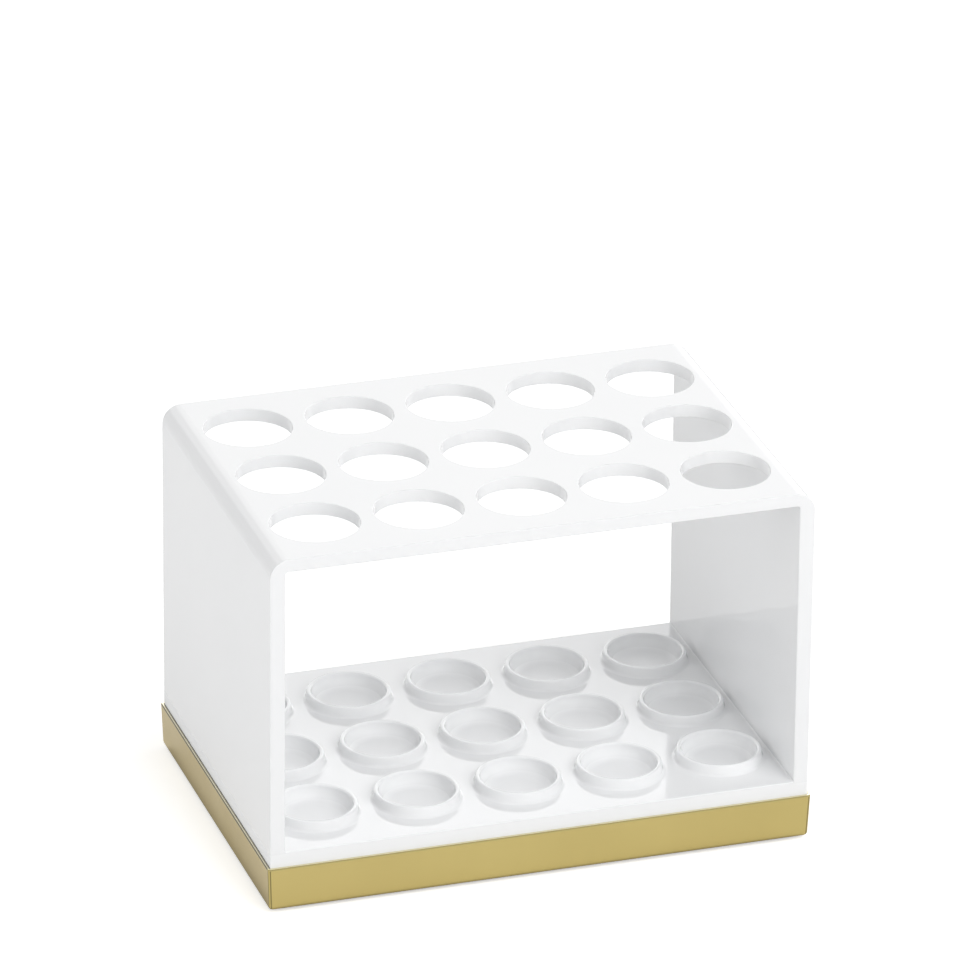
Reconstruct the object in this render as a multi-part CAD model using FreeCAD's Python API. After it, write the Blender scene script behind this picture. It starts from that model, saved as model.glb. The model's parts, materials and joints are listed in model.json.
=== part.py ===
import FreeCAD, Part
import os
from math import cos, pi, radians, tan

from FreeCAD import Vector

# Brush holder: a white moulded frame (perforated deck on two side walls) and a cup plate
# stand together in a shallow gold tray on four soft feet.
# Frame of the part: millimetres, +Z up, the floor at z = 0 under the middle of the footprint,
# the long open front towards -Y.

# ---- driving dimensions ---------------------------------------------------------------------

# the white body, outside
body_width = 156.0
body_depth = 106.5
total_height = 106.8  # floor to the top of the deck

# frame
wall_thickness = 4.15  # side wall at its foot
wall_draft = 0.2  # degrees, inner face only, so that the core pulls downwards
deck_thickness = 3.8
long_edge_radius = 5.6  # the two rounded top edges that run front to back
inside_corner_radius = 0.8
body_edge_break = 0.5  # bevel round the outline of the front and back faces

# deck holes
hole_diameter = 25.0
hole_web = 3.5  # least material between two neighbouring holes
row_margin = 4.8  # plain strip along the front and back edges, outside the rows

# cup plate
plate_rise = 4.4  # its top above the tray's rim
plate_thickness = 3.0
skirt_thickness = 3.0  # front and back lips
flange_thickness = 2.0  # along the side walls
bond_gap = 0.1  # between the plate and the frame, on each side
cup_height = 3.0
cup_bore = 21.4
cup_wall = 1.2  # at the rim
cup_spread = 0.75  # how far the outside of the wall flares down to its foot
cup_sink = 1.3  # the cup's floor below the plate's top
cup_web = 1.0  # least width of plate left between two neighbouring cups
rib_thickness = 1.4

# tray
tray_height = 13.0
tray_wall = 1.6
tray_floor = 1.8
tray_draft = 2.2  # degrees, outside and inside
tray_ledge = 0.85  # how far the rim shows outside the white body
tray_corner_radius = 0.8
tray_inside_radius = 0.4
tray_bottom_radius = 1.2
tray_rim_break = 0.3
seam_width = 0.28  # shadow seam in the rim along each side wall
seam_depth = 0.8
tongue_depth = 6.0  # how far the body reaches down into the tray
tongue_gap = 0.15
rail_inset = 12.0  # from the tray's inner wall to the end of each floor rail

# feet
foot_diameter = 9.0
foot_proud = 1.0
foot_sunk = 0.8
foot_gap = 0.15
foot_inset = 9.0  # from the edge of the tray's underside to the foot's centre

# ---- for the modelling itself ---------------------------------------------------------------

cutter_overshoot = 1.0  # how far a cutter runs past the face that it opens
same_place = 1e-4

# ---- levels and sizes that follow -----------------------------------------------------------

half_width = body_width / 2
half_depth = body_depth / 2
tray_bottom = foot_proud
floor_top = tray_bottom + tray_floor
rim_top = tray_bottom + tray_height
tongue_tip = rim_top - tongue_depth
plate_top = rim_top + plate_rise
plate_under = plate_top - plate_thickness
deck_under = total_height - deck_thickness

slope = tan(radians(tray_draft))
tray_half_width = half_width + tray_ledge
tray_half_depth = half_depth + tray_ledge
tongue_step = tray_wall - tray_ledge + tongue_depth * slope + tongue_gap
inner_half_width = half_width - wall_thickness
head_half_width = inner_half_width - (deck_under - plate_top) * tan(radians(wall_draft))

# as many holes as fit, each over a cup, evenly spread
cup_radius = cup_bore / 2
rim_radius = cup_radius + cup_wall
cup_foot_radius = rim_radius + cup_spread
least_pitch = max(hole_diameter + hole_web, 2 * cup_foot_radius + cup_web)
columns = int(2 * inner_half_width // least_pitch)
rows = int((body_depth - 2 * row_margin) // least_pitch)
column_pitch = 2 * inner_half_width / columns
row_pitch = (body_depth - 2 * row_margin) / rows


def spread(count, pitch):
    """Places of count things, pitch apart and centred on 0."""
    return [(i - (count - 1) / 2) * pitch for i in range(count)]


column_places = spread(columns, column_pitch)
row_places = spread(rows, row_pitch)
hole_places = [(x, y) for y in row_places for x in column_places]
column_gaps = spread(columns - 1, column_pitch)
row_gaps = spread(rows - 1, row_pitch)


# ---- shapes ---------------------------------------------------------------------------------


def block(x0, x1, y0, y1, z0, z1):
    return Part.makeBox(x1 - x0, y1 - y0, z1 - z0, Vector(x0, y0, z0))


def turned(profile, x, y):
    """Solid of revolution about the upright axis through (x, y) from (radius, height) points."""
    points = [Vector(r, 0, z) for r, z in profile]
    face = Part.Face(Part.makePolygon(points + points[:1]))
    solid = face.revolve(Vector(0, 0, 0), Vector(0, 0, 1), 360)
    solid.translate(Vector(x, y, 0))
    return solid


def drafted_block(half_x, half_y, radius, z_low, z_high):
    """Block with rounded upright edges, as wide as stated at z_high and narrower below by the draft."""
    drop = (z_high - z_low) * slope
    low_x = half_x - drop
    low_y = half_y - drop
    lying = Part.makeWedge(-low_x, z_low, -low_y, -half_y, -half_x, low_x, z_high, low_y, half_y, half_x)
    solid = lying.rotated(Vector(0, 0, 0), Vector(1, 0, 0), 90)
    upright = [edge for edge in solid.Edges if edge.BoundBox.ZLength > (z_high - z_low) / 2]
    return solid.makeFillet(radius, upright)


def edges_where(shape, test):
    return [edge for edge in shape.Edges if test(edge.BoundBox)]


def flat_at(box, z):
    return abs(box.ZMin - z) < same_place and abs(box.ZMax - z) < same_place


# ---- sub-parts ------------------------------------------------------------------------------


def frame_profile():
    """Outline of the frame seen from the front: rounded outside, drafted inside."""
    r = long_edge_radius
    q = r * (1 - cos(pi / 4))
    top = total_height
    edges = []
    for side in (-1, 1):
        foot = Vector(side * half_width, 0, rim_top)
        bend = Vector(side * half_width, 0, top - r)
        crown = Vector(side * (half_width - q), 0, top - q)
        shoulder = Vector(side * (half_width - r), 0, top)
        inner_foot = Vector(side * inner_half_width, 0, rim_top)
        inner_start = Vector(side * inner_half_width, 0, plate_top)
        inner_head = Vector(side * head_half_width, 0, deck_under)
        edges.append(Part.makeLine(inner_head, inner_start))
        edges.append(Part.makeLine(inner_start, inner_foot))
        edges.append(Part.makeLine(inner_foot, foot))
        edges.append(Part.makeLine(foot, bend))
        edges.append(Part.Arc(bend, crown, shoulder).toShape())
    edges.append(Part.makeLine(Vector(r - half_width, 0, top), Vector(half_width - r, 0, top)))
    ends = [Vector(side * head_half_width, 0, deck_under) for side in (-1, 1)]
    edges.append(Part.makeLine(*ends))
    return Part.Face(Part.Wire(Part.__sortEdges__(edges)))


def make_frame():
    """Deck and both side walls in one moulding, with a tongue under each wall."""
    frame = frame_profile().extrude(Vector(0, body_depth, 0))
    frame.translate(Vector(0, -half_depth, 0))

    def inner_corner(box):
        return flat_at(box, deck_under) and box.YLength > half_depth

    frame = frame.makeFillet(inside_corner_radius, edges_where(frame, inner_corner))

    def on_outline(box):
        on_face = box.YLength < same_place
        above_tray = box.ZMax > rim_top + same_place
        on_side = max(box.XMax, -box.XMin) > half_width - same_place
        return on_face and (above_tray and on_side or flat_at(box, total_height))

    frame = frame.makeChamfer(body_edge_break, edges_where(frame, on_outline))

    for side in (-1, 1):
        x0, x1 = sorted((side * inner_half_width, side * (half_width - tongue_step)))
        reach = half_depth - tongue_step
        frame = frame.fuse(block(x0, x1, -reach, reach, tongue_tip, rim_top))
    frame = frame.removeSplitter()

    holes = [
        Part.makeCylinder(
            hole_diameter / 2,
            deck_thickness + 2 * cutter_overshoot,
            Vector(x, y, deck_under - cutter_overshoot),
        )
        for x, y in hole_places
    ]
    return frame.cut(Part.makeCompound(holes))


def cup_wall_solid(x, y):
    """The ring of one cup before it is hollowed: its outside flares down to the plate."""
    mouth = plate_top + cup_height
    profile = [
        (0, plate_under),
        (cup_foot_radius, plate_under),
        (cup_foot_radius, plate_top),
        (rim_radius, mouth),
        (0, mouth),
    ]
    return turned(profile, x, y)


def cup_hollow(x, y):
    depth = cup_height + cup_sink
    return Part.makeCylinder(cup_radius, depth + cutter_overshoot, Vector(x, y, plate_top - cup_sink))


def make_cup_plate():
    """Plate with a cup under each deck hole, a lip front and back, flanges and crossed ribs."""
    edge_x = inner_half_width - bond_gap
    inside_y = half_depth - tongue_step
    lip_y = half_depth - skirt_thickness
    plate = block(-edge_x, edge_x, -half_depth, half_depth, plate_under, plate_top)
    pieces = []
    for side in (-1, 1):
        y0, y1 = sorted((side * lip_y, side * half_depth))
        pieces.append(block(-edge_x, edge_x, y0, y1, rim_top, plate_under))
        y0, y1 = sorted((side * lip_y, side * inside_y))
        pieces.append(block(-edge_x, edge_x, y0, y1, tongue_tip, rim_top))
        x0, x1 = sorted((side * (edge_x - flange_thickness), side * edge_x))
        pieces.append(block(x0, x1, -inside_y, inside_y, tongue_tip, plate_under))
    half_rib = rib_thickness / 2
    for x in column_gaps:
        pieces.append(block(x - half_rib, x + half_rib, -lip_y, lip_y, tongue_tip, plate_under))
    for y in row_gaps:
        pieces.append(block(-edge_x, edge_x, y - half_rib, y + half_rib, tongue_tip, plate_under))
    pieces += [cup_wall_solid(x, y) for x, y in hole_places]
    plate = plate.fuse(pieces).removeSplitter()
    return plate.cut(Part.makeCompound([cup_hollow(x, y) for x, y in hole_places]))


def tray_underside():
    """Half width and half depth of the tray where it meets its flat underside."""
    drop = tray_height * slope
    return tray_half_width - drop, tray_half_depth - drop


def foot_places():
    half_x, half_y = tray_underside()
    return [(sx * (half_x - foot_inset), sy * (half_y - foot_inset)) for sx in (-1, 1) for sy in (-1, 1)]


def make_tray():
    """Shallow drafted tray: rim, floor, rails under the long ribs, seams along the walls, seats for the feet."""
    outside = drafted_block(tray_half_width, tray_half_depth, tray_corner_radius, tray_bottom, rim_top)
    outside = outside.makeFillet(
        tray_bottom_radius,
        edges_where(outside, lambda box: flat_at(box, tray_bottom)),
    )
    outside = outside.makeChamfer(
        tray_rim_break,
        edges_where(outside, lambda box: flat_at(box, rim_top)),
    )
    hollow = drafted_block(
        tray_half_width - tray_wall,
        tray_half_depth - tray_wall,
        tray_inside_radius,
        floor_top,
        rim_top,
    )
    tray = outside.cut(hollow)
    rail_end = tray_half_width - tray_wall - rail_inset
    web = rib_thickness / 2
    rails = [block(-rail_end, rail_end, y - web, y + web, floor_top, tongue_tip) for y in row_gaps]
    tray = tray.fuse(rails)
    seats = [
        Part.makeCylinder(foot_diameter / 2 + foot_gap, foot_sunk, Vector(x, y, tray_bottom))
        for x, y in foot_places()
    ]
    seams = []
    for side in (-1, 1):
        x0, x1 = sorted((side * half_width, side * (half_width + seam_width)))
        seams.append(block(x0, x1, -half_depth, half_depth, rim_top - seam_depth, rim_top + cutter_overshoot))
    return tray.cut(Part.makeCompound(seats + seams)).removeSplitter()


def make_foot(x, y):
    """Round soft pad, sunk in its seat under the tray."""
    return Part.makeCylinder(foot_diameter / 2, foot_sunk + foot_proud, Vector(x, y, 0))


def main():
    nodes = {
        "brush_frame": make_frame(),
        "cup_plate": make_cup_plate(),
        "base_tray": make_tray(),
    }
    names = ("rear_left_foot", "rear_right_foot", "front_left_foot", "front_right_foot")
    ordered = sorted(foot_places(), key=lambda place: (-place[1], place[0]))
    for name, (x, y) in zip(names, ordered):
        nodes[name] = make_foot(x, y)
    os.makedirs("parts", exist_ok=True)
    for name, shape in nodes.items():
        shape.exportStep(f"parts/{name}.step")
        print(name, "valid", shape.isValid(), "solids", len(shape.Solids), "volume", round(shape.Volume))


main()
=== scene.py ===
import json
from math import atan, cos, degrees, pi, radians, sin, tan

import bpy
from mathutils import Matrix, Vector
from mathutils.geometry import tessellate_polygon


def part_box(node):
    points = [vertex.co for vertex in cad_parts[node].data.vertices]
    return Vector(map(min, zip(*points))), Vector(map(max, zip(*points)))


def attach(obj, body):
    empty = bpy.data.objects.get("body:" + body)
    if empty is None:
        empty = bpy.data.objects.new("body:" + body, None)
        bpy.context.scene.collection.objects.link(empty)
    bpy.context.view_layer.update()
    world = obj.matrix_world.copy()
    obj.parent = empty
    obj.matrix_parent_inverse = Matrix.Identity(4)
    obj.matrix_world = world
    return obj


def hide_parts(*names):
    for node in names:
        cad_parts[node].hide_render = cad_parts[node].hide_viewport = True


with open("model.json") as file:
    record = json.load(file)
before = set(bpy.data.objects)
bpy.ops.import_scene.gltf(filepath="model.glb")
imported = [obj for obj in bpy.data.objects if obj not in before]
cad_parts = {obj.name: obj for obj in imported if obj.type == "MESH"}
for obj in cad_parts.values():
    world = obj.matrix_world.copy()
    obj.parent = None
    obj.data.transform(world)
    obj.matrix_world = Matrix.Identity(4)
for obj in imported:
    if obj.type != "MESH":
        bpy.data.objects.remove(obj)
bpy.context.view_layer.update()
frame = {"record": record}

# Brush holder: looks of the white frame, the cup plate, the gold tray and the feet.
# Metres, +Z up, the floor at z = 0, one of the two open ends towards -Y as the front.

MM = 0.001

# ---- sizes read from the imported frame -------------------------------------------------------

record = frame["record"]
frame_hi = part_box("brush_frame")[1]
plate_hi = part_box("cup_plate")[1]
tray_lo, tray_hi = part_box("base_tray")
FEET = ("rear_left_foot", "rear_right_foot", "front_left_foot", "front_right_foot")

holes = [m for m in record["mounts"] if m["name"].startswith("brush_hole")]
hole_radius = holes[0]["dims"]["r_mm"] * MM
deck_thickness = holes[0]["dims"]["length_mm"] * MM

half_width = frame_hi.x
half_depth = frame_hi.y
top = frame_hi.z
deck_under = top - deck_thickness
rim_top = tray_hi.z
cup_mouth = plate_hi.z

# ---- sizes of the form that the boxes don't say ---------------------------------------------

cup_radius = 10.7 * MM
cup_depth = 4.3 * MM
cup_floor = cup_mouth - cup_depth
cup_height = 3.0 * MM
plate_top = cup_mouth - cup_height
wall_thickness = 4.15 * MM
wall_draft = radians(0.2)
long_edge_radius = 5.6 * MM
inside_corner_radius = 0.8 * MM
outline_radius = 0.2 * MM  # front and back outline of the frame
opening_radius = 0.35 * MM  # round the inner edges of the front and back openings
flush_radius = 0.004 * MM  # the same edges beside the plate's lip, which lies flush
flush_blend = 0.6 * MM  # height over which one of these radii turns into the other
hole_edge_radius = 0.22 * MM
plate_edge_radius = 0.3 * MM
bond_gap = 0.01 * MM  # what the cement leaves open
bead_radius = 0.4 * MM  # cement fillet where the plate meets the walls
bead_margin = 1.5 * plate_edge_radius  # between the ends of that fillet and the plate's edges
cup_rim_width = 1.2 * MM
cup_spread = 0.5 * MM  # how much wider a cup's foot is than its rim
cup_rim_radius = 0.58 * MM
cup_root_radius = 1.0 * MM
cup_floor_radius = 3.4 * MM
tray_draft = radians(2.2)
tray_wall = 1.6 * MM
tray_floor = 1.8 * MM
tray_corner_radius = 0.8 * MM
tray_bottom_radius = 1.2 * MM
tray_rim_radius = 0.3 * MM
seam_width = 0.17 * MM  # shadow seam in the tray's rim, along each side wall
seam_depth = 0.8 * MM
tongue_depth = 6.0 * MM  # how far the frame's tongues reach down into the tray
tongue_step = 1.13 * MM  # from the frame's outside to its tongues
foot_seat_gap = 0.15 * MM
foot_edge_radius = 0.35 * MM

inner_half_width = half_width - wall_thickness
head_half_width = inner_half_width - (deck_under - plate_top) * tan(wall_draft)

ROUND = 96  # segments round a hole or a cup
FILLET = 6  # segments across a fillet
BEND = 16  # segments round a large bend

THIN = 1e-10  # m2, twice the area under which a triangle counts as a line

FRONT, BACK = Vector((0, -1, 0)), Vector((0, 1, 0))
LEFT, RIGHT = Vector((-1, 0, 0)), Vector((1, 0, 0))
UP, DOWN = Vector((0, 0, 1)), Vector((0, 0, -1))


# ---- mesh building --------------------------------------------------------------------------


class Skin:
    """Closed mesh from sheets and flat faces, each corner with its own normal."""

    def __init__(self):
        self.points = []
        self.faces = []
        self.normals = []

    def add(self, point):
        self.points.append(Vector(point))
        return len(self.points) - 1

    def row(self, places):
        """Adds (point, normal) places and returns them as (index, normal)."""
        return [(self.add(point), Vector(normal)) for point, normal in places]

    def face(self, corners):
        """One face from (index, normal) corners, turned so that it looks along its normals."""
        a, b, c = (self.points[corners[k][0]] for k in (0, 1, 2))
        looks = (b - a).cross(c - a)
        if len(corners) == 4:
            looks += (c - a).cross(self.points[corners[3][0]] - a)
        if looks.dot(sum((normal for _, normal in corners), Vector())) < 0:
            corners = corners[::-1]
        self.faces.append([index for index, _ in corners])
        self.normals += [normal for _, normal in corners]

    def sheet(self, rows, skip=()):
        """Quads between neighbouring rows; columns named in skip are left open."""
        for one, two in zip(rows, rows[1:]):
            for k in range(len(one) - 1):
                if k not in skip:
                    self.face([one[k], one[k + 1], two[k + 1], two[k]])

    def wrap(self, rings):
        """Quads between neighbouring rings, all the way round."""
        for one, two in zip(rings, rings[1:]):
            for k in range(len(one)):
                n = (k + 1) % len(one)
                self.face([one[k], one[n], two[n], two[k]])

    def flat(self, loops, normal):
        """Flat face between an outer loop of indices and the loops of its holes."""
        flattened = [index for loop in loops for index in loop]
        triples = tessellate_polygon([[self.points[i] for i in loop] for loop in loops])
        for triple in self.full_triangles([[flattened[k] for k in triple] for triple in triples]):
            self.face([(index, normal) for index in triple])

    def full_triangles(self, triples):
        """The same area without triangles whose corners lie in line: each gives its middle
        corner to the neighbour on its long side."""

        def is_thin(triple):
            a, b, c = (self.points[k] for k in triple)
            return (b - a).cross(c - a).length < THIN

        def side(ends):
            return (self.points[ends[0]] - self.points[ends[1]]).length

        while thin := next((triple for triple in triples if is_thin(triple)), None):
            a, b, c = thin
            one, two, middle = max(((a, b, c), (b, c, a), (c, a, b)), key=side)
            near = next(t for t in triples if t is not thin and one in t and two in t)
            tip = next(k for k in near if k not in (one, two))
            triples = [t for t in triples if t is not thin and t is not near]
            triples += [[one, middle, tip], [middle, two, tip]]
        return triples

    def block(self, lo, hi):
        """Plain box, for what is hidden inside."""
        xs, ys, zs = zip(lo, hi)
        corners = [self.add((x, y, z)) for z in zs for y in ys for x in xs]
        sides = {
            (0, 1, 3, 2): DOWN,
            (4, 5, 7, 6): UP,
            (0, 1, 5, 4): FRONT,
            (2, 3, 7, 6): BACK,
            (0, 2, 6, 4): LEFT,
            (1, 3, 7, 5): RIGHT,
        }
        for ids, normal in sides.items():
            self.face([(corners[k], normal) for k in ids])

    def pit(self, lo, hi):
        """Rectangular pocket open at the top. Returns the loop of its mouth."""
        corners = ((lo[0], lo[1]), (hi[0], lo[1]), (hi[0], hi[1]), (lo[0], hi[1]))
        mouth = [self.add((x, y, hi[2])) for x, y in corners]
        floor = [self.add((x, y, lo[2])) for x, y in corners]
        for k, normal in enumerate((BACK, LEFT, FRONT, RIGHT)):
            n = (k + 1) % 4
            self.face([(index, normal) for index in (mouth[k], mouth[n], floor[n], floor[k])])
        self.face([(k, UP) for k in floor])
        return mouth

    def turned(self, centre, profile, closed_ends=(False, False)):
        """Surface of revolution from (radius, height, normal out, normal up) places.
        Returns the end loops."""
        angles = [2 * pi * k / ROUND for k in range(ROUND)]
        ways = [Vector((cos(angle), sin(angle), 0)) for angle in angles]
        rings = []
        for radius, height, out, rise in profile:
            places = [(centre + way * radius + UP * height, way * out + UP * rise) for way in ways]
            rings.append(self.row(places))
        self.wrap(rings)
        ends = [loop_of(rings[0]), loop_of(rings[-1])]
        for shut, loop, place in zip(closed_ends, ends, (profile[0], profile[-1])):
            if shut:
                self.flat([loop], UP if place[3] > 0 else DOWN)
        return ends

    def make(self, name):
        mesh = bpy.data.meshes.new(name)
        mesh.from_pydata(self.points, [], self.faces)
        mesh.polygons.foreach_set("use_smooth", [True] * len(self.faces))
        mesh.normals_split_custom_set([normal.normalized() for normal in self.normals])
        mesh.update()
        piece = bpy.data.objects.new(name, mesh)
        bpy.context.scene.collection.objects.link(piece)
        return piece


def loop_of(row):
    """The indices alone of a row's (index, normal) places."""
    return [index for index, _ in row]


def flipped(places):
    """(point, normal) places mirrored from the front half to the back half, in reverse order."""
    flip = Vector((1, -1, 1))
    return [(point * flip, normal * flip) for point, normal in reversed(places)]


def quarter(start, end, steps=FILLET):
    """(cosine, sine) pairs from one angle to another, in degrees."""
    angles = [radians(start + (end - start) * k / steps) for k in range(steps + 1)]
    return [(cos(a), sin(a)) for a in angles]


# ---- white frame ----------------------------------------------------------------------------


def across(station, radius):
    """Places from front to back over one station of the outline, with a fillet at each end."""
    x, z, nx, nz = station
    out = Vector((nx, 0, nz))
    foot = Vector((x, 0, z)) - out * radius
    front = []
    for c, s in quarter(0, 90):
        normal = out * s + FRONT * c
        front.append((foot + FRONT * (half_depth - radius) + normal * radius, normal))
    return front + flipped(front)


def mirrored(stations):
    """Stations of the left half, followed by those of the right half."""
    return stations + [(-x, z, -nx, nz) for x, z, nx, nz in reversed(stations)]


def outer_stations():
    """(x, z, normal x, normal z) up the left wall's outside, over the deck and down the right."""
    r = long_edge_radius
    bend = [(r - half_width + r * c, top - r + r * s, c, s) for c, s in quarter(180, 90, BEND)]
    return mirrored([(-half_width, rim_top, -1, 0)] + bend)


def inner_stations():
    """The same for the inside of the walls and the deck's underside, with a fillet radius each."""
    r = inside_corner_radius
    lean = cos(wall_draft), -sin(wall_draft)

    def wall_at(z):
        return -inner_half_width + max(0, z - plate_top) * tan(wall_draft), z, *lean

    corner = Vector((r - head_half_width, 0, deck_under - r))
    bend = [(corner.x + r * c, corner.z + r * s, -c, -s) for c, s in quarter(180, 90)]
    heights = (rim_top, plate_top, plate_top + flush_blend)
    radii = [flush_radius, flush_radius, opening_radius] + [opening_radius] * len(bend)
    return mirrored([wall_at(z) for z in heights] + bend), radii + radii[::-1]


def make_frame():
    skin = Skin()
    last = FILLET  # the column of the last place on the front fillet

    outer = [skin.row(across(s, outline_radius)) for s in outer_stations()]
    stations, radii = inner_stations()
    inner = [skin.row(across(s, r)) for s, r in zip(stations, radii)]

    for rows in (outer, inner):
        middle = len(rows) // 2
        skin.sheet(rows[:middle])
        skin.sheet(rows[middle:])
        skin.sheet(rows[middle - 1 : middle + 1], skip=(last,))

    def edge_loop(rows):
        """The outline of the flat that the middle pair of rows leaves open."""
        one, two = rows[len(rows) // 2 - 1], rows[len(rows) // 2]
        return [one[last][0], two[last][0], two[last + 1][0], one[last + 1][0]]

    r = hole_edge_radius
    upper, lower = [], []
    for hole in holes:
        x, y, _ = hole["pos_m"]
        wide = hole_radius + r
        profile = [(wide - r * s, top - r + r * c, -s, c) for c, s in quarter(0, 90)]
        profile += [(wide - r * c, deck_under + r - r * s, -c, -s) for c, s in quarter(0, 90)]
        ends = skin.turned(Vector((x, y, 0)), profile)
        upper.append(ends[0])
        lower.append(ends[1])
    skin.flat([edge_loop(outer)] + upper, UP)
    skin.flat([edge_loop(inner)] + lower, DOWN)

    for column, normal in ((0, FRONT), (-1, BACK)):
        skin.flat([[row[column][0] for row in outer + inner[::-1]]], normal)
    for one, two in ((outer[0], inner[0]), (outer[-1], inner[-1])):
        skin.flat([loop_of(one + two[::-1])], DOWN)

    reach = half_depth - tongue_step
    for side in (-1, 1):
        x0, x1 = sorted((side * inner_half_width, side * (half_width - tongue_step)))
        skin.block((x0, -reach, rim_top - tongue_depth), (x1, reach, rim_top + flush_blend))
    return skin.make("white_frame")


# ---- cup plate ------------------------------------------------------------------------------


def cup_profile():
    """One cup from the plate's top, over its rim and down to its floor."""
    foot = cup_radius + cup_rim_width + cup_spread
    rim = cup_radius + cup_rim_width
    lean = atan(cup_spread / cup_height)
    turns = [(pi / 2 - lean) * k / FILLET for k in range(FILLET + 1)]
    set_off = (1 - sin(lean)) / cos(lean)  # of a fillet's centre, per unit of its radius

    root = cup_root_radius
    root_x, root_z = foot + root * set_off, plate_top + root
    profile = [(root_x - root * sin(t), root_z - root * cos(t), sin(t), cos(t)) for t in turns]

    tip = cup_rim_radius
    tip_x, tip_z = rim - tip * set_off, cup_mouth - tip
    profile += [(tip_x + tip * sin(t), tip_z + tip * cos(t), sin(t), cos(t)) for t in turns[::-1]]
    tip_x = cup_radius + tip
    profile += [(tip_x + tip * c, tip_z + tip * s, c, s) for c, s in quarter(90, 180)]

    base = cup_floor_radius
    base_x, base_z = cup_radius - base, cup_floor + base
    profile += [(base_x + base * c, base_z + base * s, -c, -s) for c, s in quarter(0, -90)]
    return profile


def add_bead(skin, side, edge_x, reach):
    """Small fillet that fills the corner between the plate and the wall on one side, -1 or 1."""
    f = bead_radius
    rows = []
    for y in (-reach, reach):
        arc = [
            ((side * (edge_x - f + f * s), y, plate_top + f - f * c), (-side * s, 0, c))
            for c, s in quarter(0, 90)
        ]
        rows.append(skin.row(arc))
    roots = [skin.add((side * edge_x, y, plate_top - bond_gap)) for y in (-reach, reach)]
    skin.sheet(rows)
    for column, normal in ((0, DOWN), (-1, RIGHT * side)):
        one, two = (row[column][0] for row in rows)
        skin.face([(one, normal), (two, normal), (roots[1], normal), (roots[0], normal)])
    for row, root, normal in zip(rows, roots, (FRONT, BACK)):
        skin.flat([loop_of(row) + [root]], normal)


def make_plate():
    skin = Skin()
    edge_x = inner_half_width - bond_gap
    r = plate_edge_radius
    rows = []
    for x in (-edge_x, edge_x):
        front = [(Vector((x, -half_depth, rim_top)), FRONT)]
        for c, s in quarter(0, 90):
            point = Vector((x, r - half_depth - r * c, plate_top - r + r * s))
            front.append((point, FRONT * c + UP * s))
        rows.append(skin.row(front + flipped(front)))
    last = len(front) - 1
    skin.sheet(rows, skip=(last,))
    one, two = rows
    skin.flat([[one[0][0], two[0][0], two[-1][0], one[-1][0]]], DOWN)
    for row, side in zip(rows, (-1, 1)):
        skin.flat([loop_of(row)], RIGHT * side)
        add_bead(skin, side, edge_x, half_depth - bead_margin)
    loops = [[one[last][0], two[last][0], two[last + 1][0], one[last + 1][0]]]
    shape = cup_profile()
    for hole in holes:
        x, y, _ = hole["pos_m"]
        ends = skin.turned(Vector((x, y, 0)), shape, closed_ends=(False, True))
        loops.append(ends[0])
    skin.flat(loops, UP)
    return skin.make("white_cup_plate")


# ---- gold tray and feet ---------------------------------------------------------------------


def round_rectangle(half_x, half_y):
    """(x, y, normal x, normal y) round the tray's rounded outline, as seen from above."""
    r = tray_corner_radius
    places = []
    for quadrant, (sx, sy) in enumerate(((1, 1), (-1, 1), (-1, -1), (1, -1))):
        for c, s in quarter(90 * quadrant, 90 * quadrant + 90, BEND // 2):
            places.append((sx * (half_x - r) + r * c, sy * (half_y - r) + r * s, c, s))
    return places


def tray_rings(skin, profile):
    """One ring of (index, normal) round the tray for each (offset, height, out, rise)."""
    rings = []
    for offset, height, out, rise in profile:
        outline = round_rectangle(tray_hi.x + offset, tray_hi.y + offset)
        places = [((x, y, height), (nx * out, ny * out, rise)) for x, y, nx, ny in outline]
        rings.append(skin.row(places))
    skin.wrap(rings)
    return rings


def foot_sizes(node):
    """Centre on the floor, radius, and the heights of the bottom and the top of one foot."""
    lo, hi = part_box(node)
    centre = (lo + hi) / 2
    return Vector((centre.x, centre.y, 0)), (hi.x - lo.x) / 2, lo.z, hi.z


def make_tray():
    skin = Skin()
    low, high = tray_lo.z, tray_hi.z
    e, b = tray_rim_radius, tray_bottom_radius
    draft = degrees(tray_draft)
    foot_offset = -(high - low - b) * tan(tray_draft) - b / cos(tray_draft)

    inside = [(-tray_wall, low + tray_floor, -1, 0)]
    inside += [(-tray_wall + e + e * c, high - e + e * s, c, s) for c, s in quarter(180, 90)]
    outside = [(-e + e * c, high - e + e * s, c, s) for c, s in quarter(90, -draft)]
    outside += [(foot_offset + b * c, low + b + b * s, c, s) for c, s in quarter(-draft, -90)]
    inner = tray_rings(skin, inside)
    outer = tray_rings(skin, outside)
    skin.flat([loop_of(inner[0])], UP)

    rim = [loop_of(outer[0]), loop_of(inner[-1])]
    for side in (-1, 1):
        x0, x1 = sorted((side * half_width, side * (half_width + seam_width)))
        rim.append(skin.pit((x0, -half_depth, high - seam_depth), (x1, half_depth, high)))
    skin.flat(rim, UP)

    under = [loop_of(outer[-1])]
    for foot in FEET:
        centre, radius, _, seat_top = foot_sizes(foot)
        radius += foot_seat_gap
        ends = skin.turned(centre, [(radius, low, -1, 0), (radius, seat_top, -1, 0)])
        under.append(ends[0])
        skin.flat([ends[1]], DOWN)
    skin.flat(under, DOWN)
    return skin.make("gold_tray")


def make_foot(node):
    skin = Skin()
    centre, radius, low, high = foot_sizes(node)
    e = foot_edge_radius
    profile = [(radius - e + e * s, low + e - e * c, s, -c) for c, s in quarter(0, 90)]
    profile += [(radius, high, 1, 0)]
    ends = skin.turned(centre, profile, closed_ends=(True, False))
    skin.flat([ends[1]], UP)
    return skin.make("pad_" + node)


# ---- materials ------------------------------------------------------------------------------


def new_material(name):
    """A new material, its node tree and its shader."""
    material = bpy.data.materials.new(name)
    material.use_nodes = True
    tree = material.node_tree
    shader = tree.nodes["Principled BSDF"]
    return material, tree, shader


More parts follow.
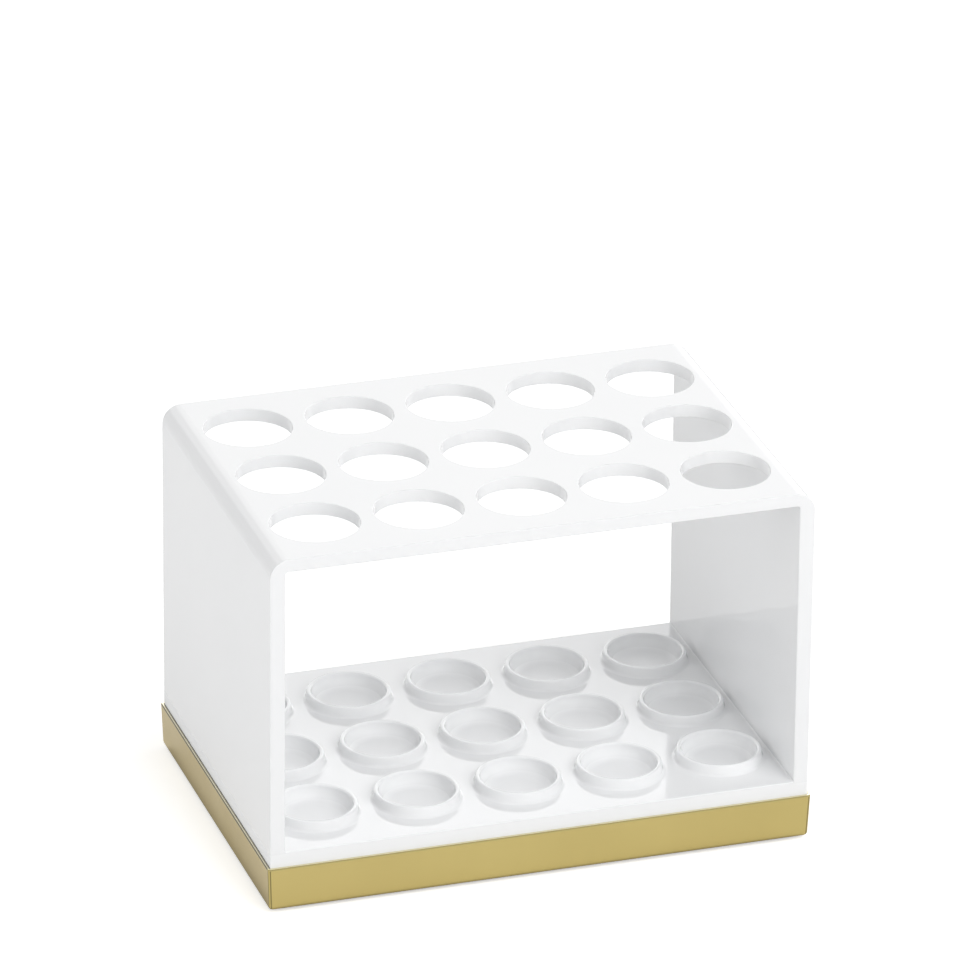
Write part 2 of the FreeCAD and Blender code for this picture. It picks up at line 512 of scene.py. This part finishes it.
def noise(tree, scale, detail=2.0, roughness=0.5, stretch=(1, 1, 1)):
    """Noise in the object's own metres; scale is in waves per metre."""
    place = tree.nodes.new("ShaderNodeTexCoord")
    mapping = tree.nodes.new("ShaderNodeMapping")
    mapping.inputs["Scale"].default_value = stretch
    texture = tree.nodes.new("ShaderNodeTexNoise")
    texture.inputs["Scale"].default_value = scale
    texture.inputs["Detail"].default_value = detail
    texture.inputs["Roughness"].default_value = roughness
    tree.links.new(place.outputs["Object"], mapping.inputs["Vector"])
    tree.links.new(mapping.outputs["Vector"], texture.inputs["Vector"])
    return texture.outputs["Fac"]


def ranged(tree, value, low, high, start=0.3, end=0.7):
    """value from start to end, as a number from low to high. Noise mostly lies in 0.3 to 0.7."""
    node = tree.nodes.new("ShaderNodeMapRange")
    limits = {"From Min": start, "From Max": end, "To Min": low, "To Max": high}
    for name, number in limits.items():
        node.inputs[name].default_value = number
    tree.links.new(value, node.inputs["Value"])
    return node.outputs["Result"]


def blended(tree, value, one, two):
    """Mix of two colours, each an (r, g, b) or another node's output."""
    node = tree.nodes.new("ShaderNodeMix")
    node.data_type = "RGBA"
    for name, colour in (("A", one), ("B", two)):
        if isinstance(colour, tuple):
            node.inputs[name].default_value = (*colour, 1)
        else:
            tree.links.new(colour, node.inputs[name])
    tree.links.new(value, node.inputs["Factor"])
    return node.outputs["Result"]


def coordinate(tree, axis):
    """The object's own X, Y or Z, in metres."""
    place = tree.nodes.new("ShaderNodeTexCoord")
    split = tree.nodes.new("ShaderNodeSeparateXYZ")
    tree.links.new(place.outputs["Object"], split.inputs["Vector"])
    return split.outputs[axis]


def combined(tree, operation, *values):
    """The result of a Math node on the outputs of other nodes."""
    node = tree.nodes.new("ShaderNodeMath")
    node.operation = operation
    for socket, value in zip(node.inputs, values):
        tree.links.new(value, socket)
    return node.outputs[0]


def upright_bend(tree):
    """0 on the flat sides and 1 in the middle of the tray's upright corners."""
    place = tree.nodes.new("ShaderNodeNewGeometry")
    split = tree.nodes.new("ShaderNodeSeparateXYZ")
    tree.links.new(place.outputs["Normal"], split.inputs["Vector"])
    both = combined(tree, "MULTIPLY", split.outputs["X"], split.outputs["Y"])
    return ranged(tree, combined(tree, "ABSOLUTE", both), 0, 1, 0, 0.5)


def bumped(tree, value, distance, strength, before=None):
    """Normals with a bump of this height in metres, on top of an earlier bump."""
    node = tree.nodes.new("ShaderNodeBump")
    node.inputs["Distance"].default_value = distance
    node.inputs["Strength"].default_value = strength
    tree.links.new(value, node.inputs["Height"])
    if before:
        tree.links.new(before, node.inputs["Normal"])
    return node.outputs["Normal"]


def white_plastic():
    """Glossy moulding, duller inside the cups."""
    material, tree, shader = new_material("white_plastic")
    cloud = ranged(tree, noise(tree, 14, detail=3), 0, 1)
    tone = blended(tree, cloud, (0.925, 0.93, 0.936), (0.905, 0.912, 0.92))
    tree.links.new(tone, shader.inputs["Base Color"])
    smear = noise(tree, 38, detail=5, roughness=0.6, stretch=(1, 1.6, 0.7))
    gloss = ranged(tree, smear, 0.045, 0.10)
    matt = ranged(tree, coordinate(tree, "Z"), 0.38, 0, cup_floor + 0.2 * MM, plate_top)
    tree.links.new(combined(tree, "ADD", gloss, matt), shader.inputs["Roughness"])
    sink = bumped(tree, noise(tree, 16, detail=1), 0.25 * MM, 0.06)
    grain = bumped(tree, noise(tree, 420, detail=1), 0.02 * MM, 0.12, sink)
    tree.links.new(grain, shader.inputs["Normal"])
    shader.inputs["IOR"].default_value = 1.5
    return material


# The gold's colours: a pair for its clouds, one for the painted dark reflections at its corners,
# and for each painted line on its rim (dark reflection, highlight) a pair, the first for the two
# sides and the second for the front and the back, as the light falls on them.
PLAIN_GOLD = (0.513, 0.415, 0.161), (0.473, 0.379, 0.145)
CORNER_PAINTED_REFLECTION = (0.22, 0.18, 0.07)
RIM_PAINTED_DARK_REFLECTION = (0.08, 0.068, 0.035), (0.40, 0.335, 0.14)
RIM_PAINTED_HIGHLIGHT = (0.465, 0.44, 0.335), (0.78, 0.73, 0.50)


def gold_finish():
    """Satin metal with painted dark reflections on its rim and upright corners and a painted
    highlight on its rim, placed on the object.
    """
    material, tree, shader = new_material("gold_finish")
    cloud = ranged(tree, noise(tree, 26, detail=4), 0, 1)
    tone = blended(tree, cloud, *PLAIN_GOLD)

    # Painted dark reflection down each side of the upright corners, where the bend would mirror
    # dark surroundings.
    turn = upright_bend(tree)
    begins = ranged(tree, turn, 0, 1, 0.03, 0.2)
    stops = ranged(tree, turn, 1, 0, 0.75, 0.98)
    tone = blended(tree, combined(tree, "MULTIPLY", begins, stops), tone, CORNER_PAINTED_REFLECTION)

    # Painted dark reflection under the rim and a painted highlight on it, both darker on the sides
    # than at the front and back, as the light falls. Ends is 1 at the front and back.
    height = coordinate(tree, "Z")
    ends = combined(tree, "ABSOLUTE", coordinate(tree, "Y"))
    ends = ranged(tree, ends, 0, 1, half_depth - 0.3 * MM, half_depth)
    edge = ranged(tree, height, 0, 1, rim_top - 0.58 * MM, rim_top - 0.42 * MM)
    tone = blended(tree, edge, tone, blended(tree, ends, *RIM_PAINTED_DARK_REFLECTION))
    # Painted highlight along the top of the rim, brighter at the front and back where the light
    # falls.
    rim_highlight_band = ranged(tree, height, 0, 1, rim_top - 0.07 * MM, rim_top - 0.03 * MM)
    tone = blended(tree, rim_highlight_band, tone, blended(tree, ends, *RIM_PAINTED_HIGHLIGHT))
    tree.links.new(tone, shader.inputs["Base Color"])

    haze = noise(tree, 60, detail=4, roughness=0.6)
    tree.links.new(ranged(tree, haze, 0.16, 0.24), shader.inputs["Roughness"])
    wave = bumped(tree, noise(tree, 70, detail=2), 0.05 * MM, 0.12)
    tree.links.new(wave, shader.inputs["Normal"])
    shader.inputs["Metallic"].default_value = 1.0
    shader.inputs["Specular Tint"].default_value = (0.87, 0.85, 0.84, 1)
    shader.inputs["Coat Weight"].default_value = 0.1
    shader.inputs["Coat Roughness"].default_value = 0.12
    shader.inputs["Coat IOR"].default_value = 1.5
    return material


def soft_feet():
    """Dull, slightly grainy foam."""
    material, tree, shader = new_material("soft_feet")
    cloud = ranged(tree, noise(tree, 300, detail=3), 0, 1)
    tone = blended(tree, cloud, (0.70, 0.70, 0.69), (0.62, 0.62, 0.61))
    tree.links.new(tone, shader.inputs["Base Color"])
    tree.links.new(ranged(tree, noise(tree, 900), 0.6, 0.8), shader.inputs["Roughness"])
    grain = bumped(tree, noise(tree, 2500, detail=2), 0.02 * MM, 0.4)
    tree.links.new(grain, shader.inputs["Normal"])
    return material


def dress(piece, material, slot, *nodes):
    piece.data.materials.append(material)
    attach(piece, "root")
    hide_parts(*nodes)


white = white_plastic()
gold = gold_finish()
soft = soft_feet()
dress(make_frame(), white, "white_plastic", "brush_frame")
dress(make_plate(), white, "white_plastic", "cup_plate")
dress(make_tray(), gold, "gold_finish", "base_tray")
for foot in FEET:
    dress(make_foot(foot), soft, "soft_feet", foot)


# ---- floor, light and camera ----------------------------------------------------------------


def ray_is_any(tree, names):
    """1 for the kinds of ray named, 0 for the rest."""
    path = tree.nodes.new("ShaderNodeLightPath")
    total = path.outputs[names[0]]
    for name in names[1:]:
        total = combined(tree, "MAXIMUM", total, path.outputs[name])
    return total


FLOOR_HALF = 5.0  # metres
CONTACT = 8 * MM  # how far from the object the floor notices it
ROOM_LIGHT = 0.415  # of the world, on the object
SEEN_WHITE = 1.0  # of the world, in the picture and in reflections


def make_floor():
    """Pale floor that keeps the object's shadow and glows to white away from it; near the object
    its glow fades, a painted contact shadow, wider in reflections than in the picture.
    """
    mesh = bpy.data.meshes.new("floor")
    corners = [(x * FLOOR_HALF, y * FLOOR_HALF, 0) for x, y in ((-1, -1), (1, -1), (1, 1), (-1, 1))]
    mesh.from_pydata(corners, [], [(0, 1, 2, 3)])
    floor = bpy.data.objects.new("floor", mesh)
    bpy.context.scene.collection.objects.link(floor)
    material, tree, shader = new_material("pale_floor")
    shader.inputs["Base Color"].default_value = (0.86, 0.86, 0.86, 1)
    shader.inputs["Roughness"].default_value = 0.9
    shader.inputs["Specular IOR Level"].default_value = 0.0
    shader.inputs["Emission Color"].default_value = (1, 1, 1, 1)
    near = tree.nodes.new("ShaderNodeAmbientOcclusion")
    near.inputs["Distance"].default_value = CONTACT
    openness = near.outputs["AO"]
    # The glow fades near the object: painted contact shadow, narrow for the camera and wider for
    # reflections.
    to_camera = ranged(tree, openness, 0.48, 0.56, 0.05, 0.25)
    camera_ray = ray_is_any(tree, ("Is Camera Ray",))
    mirrored = ranged(tree, openness, 0, 0.42, 0.5, 0.8)
    mirror_ray = ray_is_any(tree, ("Is Glossy Ray", "Is Transmission Ray"))
    lift = combined(
        tree,
        "ADD",
        combined(tree, "MULTIPLY", to_camera, camera_ray),
        combined(tree, "MULTIPLY", mirrored, mirror_ray),
    )
    tree.links.new(lift, shader.inputs["Emission Strength"])
    mesh.materials.append(material)


def make_world():
    """White world, dimmer where it lights the object than where it is seen."""
    world = bpy.data.worlds.new("studio")
    world.use_nodes = True
    tree = world.node_tree
    background = tree.nodes["Background"]
    background.inputs["Color"].default_value = (1, 1, 1, 1)
    seen = ray_is_any(tree, ("Is Camera Ray", "Is Glossy Ray", "Is Transmission Ray"))
    strength = ranged(tree, seen, ROOM_LIGHT, SEEN_WHITE, 0, 1)
    tree.links.new(strength, background.inputs["Strength"])
    bpy.context.scene.world = world


def area_light(name, place, width, height, power, aim=(0, 0, 0.05)):
    """Lamp that the camera doesn't see; metres and watts."""
    data = bpy.data.lights.new(name, "AREA")
    data.shape = "RECTANGLE"
    data.size, data.size_y = width, height
    data.energy = power
    lamp = bpy.data.objects.new(name, data)
    lamp.location = place
    lamp.rotation_euler = (Vector(aim) - Vector(place)).to_track_quat("-Z", "Y").to_euler()
    bpy.context.scene.collection.objects.link(lamp)
    lamp.visible_camera = False
    return lamp


# The photo's camera, solved from the object's edges, hole rims and cup rims.
AZIMUTH, ELEVATION, ROLL = radians(-18.013), radians(24.883), radians(0.58)
AIM = Vector((0, 0, 60.08 * MM))
DISTANCE = 2.3682  # metres from the aim
SLIDE, LIFT = -1.1 * MM, 33.65 * MM  # of the camera in its own plane, for the framing
FOCAL_LENGTH, SENSOR = 318.03, 36  # millimetres


def make_camera():
    """Long lens from the front left, a little above."""
    level = cos(ELEVATION)
    back = Vector((sin(AZIMUTH) * level, -cos(AZIMUTH) * level, sin(ELEVATION)))
    side = (-back).cross(UP).normalized()
    rise = side.cross(-back)
    right = side * cos(ROLL) + rise * sin(ROLL)
    upward = rise * cos(ROLL) - side * sin(ROLL)
    data = bpy.data.cameras.new("camera")
    data.sensor_width = SENSOR
    data.lens = FOCAL_LENGTH
    data.clip_end = 50
    camera = bpy.data.objects.new("camera", data)
    place = AIM + back * DISTANCE + right * SLIDE + upward * LIFT
    turn = Matrix((right, upward, back)).transposed().to_4x4()
    camera.matrix_world = Matrix.Translation(place) @ turn
    bpy.context.scene.collection.objects.link(camera)
    bpy.context.scene.camera = camera


make_floor()
make_world()
# Lamps light the object and stay out of its reflections.
for lamp in (
    area_light("front_light", (0.55, -1.85, 0.5), 2.2, 0.9, 7),
    area_light("high_light", (0.5, -1.07, 1.23), 1.1, 1.1, 11.3),
    area_light("left_light", (-0.9, -0.25, 0.35), 0.4, 0.4, 1.3),
    area_light("right_light", (1.75, 0.4, 0.5), 1.2, 0.8, 5),
    area_light("rear_light", (-1.5, 1.2, 0.3), 1.0, 0.5, 5),
):
    lamp.visible_glossy = False
# Cards are seen in reflections only: the softbox that the deck mirrors, and a dimmer strip.
for card in (
    area_light("reflection_card", (0.703, 1.198, 0.63), 1.805, 1.4, 11.8, aim=(0.283, -0.092, 0)),
    area_light("dim_card", (-0.438, 1.569, 0.63), 0.595, 1.4, 1.95, aim=(-0.858, 0.279, 0)),
):
    card.visible_diffuse = False
make_camera()
bpy.context.scene.view_settings.view_transform = "Standard"
